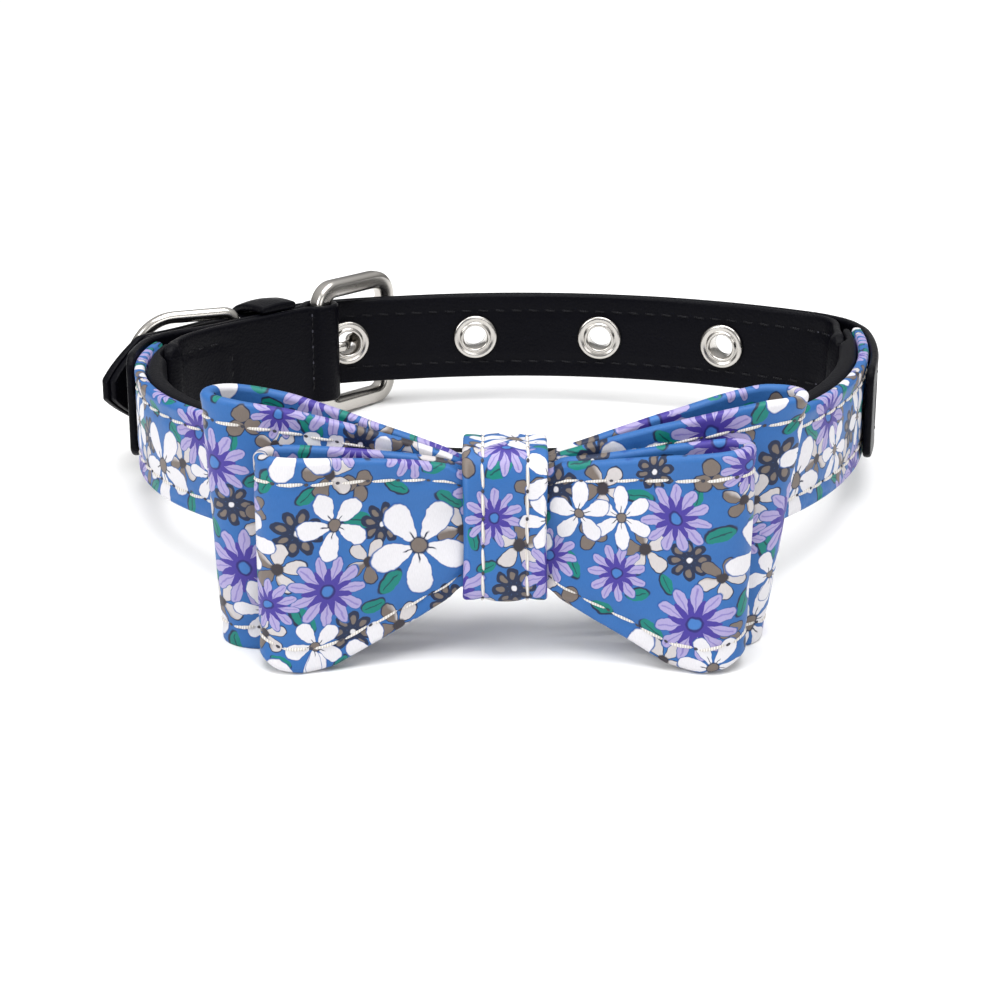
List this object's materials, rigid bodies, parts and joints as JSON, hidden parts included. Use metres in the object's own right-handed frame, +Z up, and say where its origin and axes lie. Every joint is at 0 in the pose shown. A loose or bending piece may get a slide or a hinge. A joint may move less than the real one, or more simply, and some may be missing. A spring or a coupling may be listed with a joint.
{
  "type": "pet bow tie collar",
  "caption": "Fastened pet collar with a padded floral front band, a layered bow and knot, black straps, eyelets, prong buckle, keeper and D-ring.",
  "frame": {"origin": "on the surface it stands on, at the middle of the whole collar's box", "axes": "+X to the right of the bow as it is looked at, +Y from the bow towards the back strap, +Z up; the bow faces -Y"},
  "size_m": [0.1278, 0.1202, 0.0354],
  "materials": {
    "floral_print": "soft smooth cloth-faced leatherette printed with small flowers on blue, low sheen",
    "black_leather": "black grained leatherette, satin sheen, black stitching",
    "black_lining": "soft padded black lining, dull sheen",
    "nickel": "polished nickel plate"
  },
  "bodies": {
    "collar": {"band_cover": "floral_print", "band_lining": "black_lining", "eyelet_strap": "black_leather", "buckle_strap": "black_leather", "eyelet_1": "nickel", "eyelet_2": "nickel", "eyelet_3": "nickel", "eyelet_4": "nickel", "buckle_frame": "nickel", "buckle_prong": "nickel", "keeper": "black_leather", "d_ring_tab": "black_leather", "bow_back_loop": "floral_print", "bow_front_loop": "floral_print", "bow_knot": "floral_print"},
    "ring": {"d_ring": "nickel"}
  },
  "joints": [
    {"name": "d_ring_hinge", "type": "hinge", "parent": "collar", "child": "ring", "pos_m": [-0.04296, 0.03514, 0.0131], "axis": [0, -0.0558, -0.9984], "range_deg": [0, 80]}
  ]
}
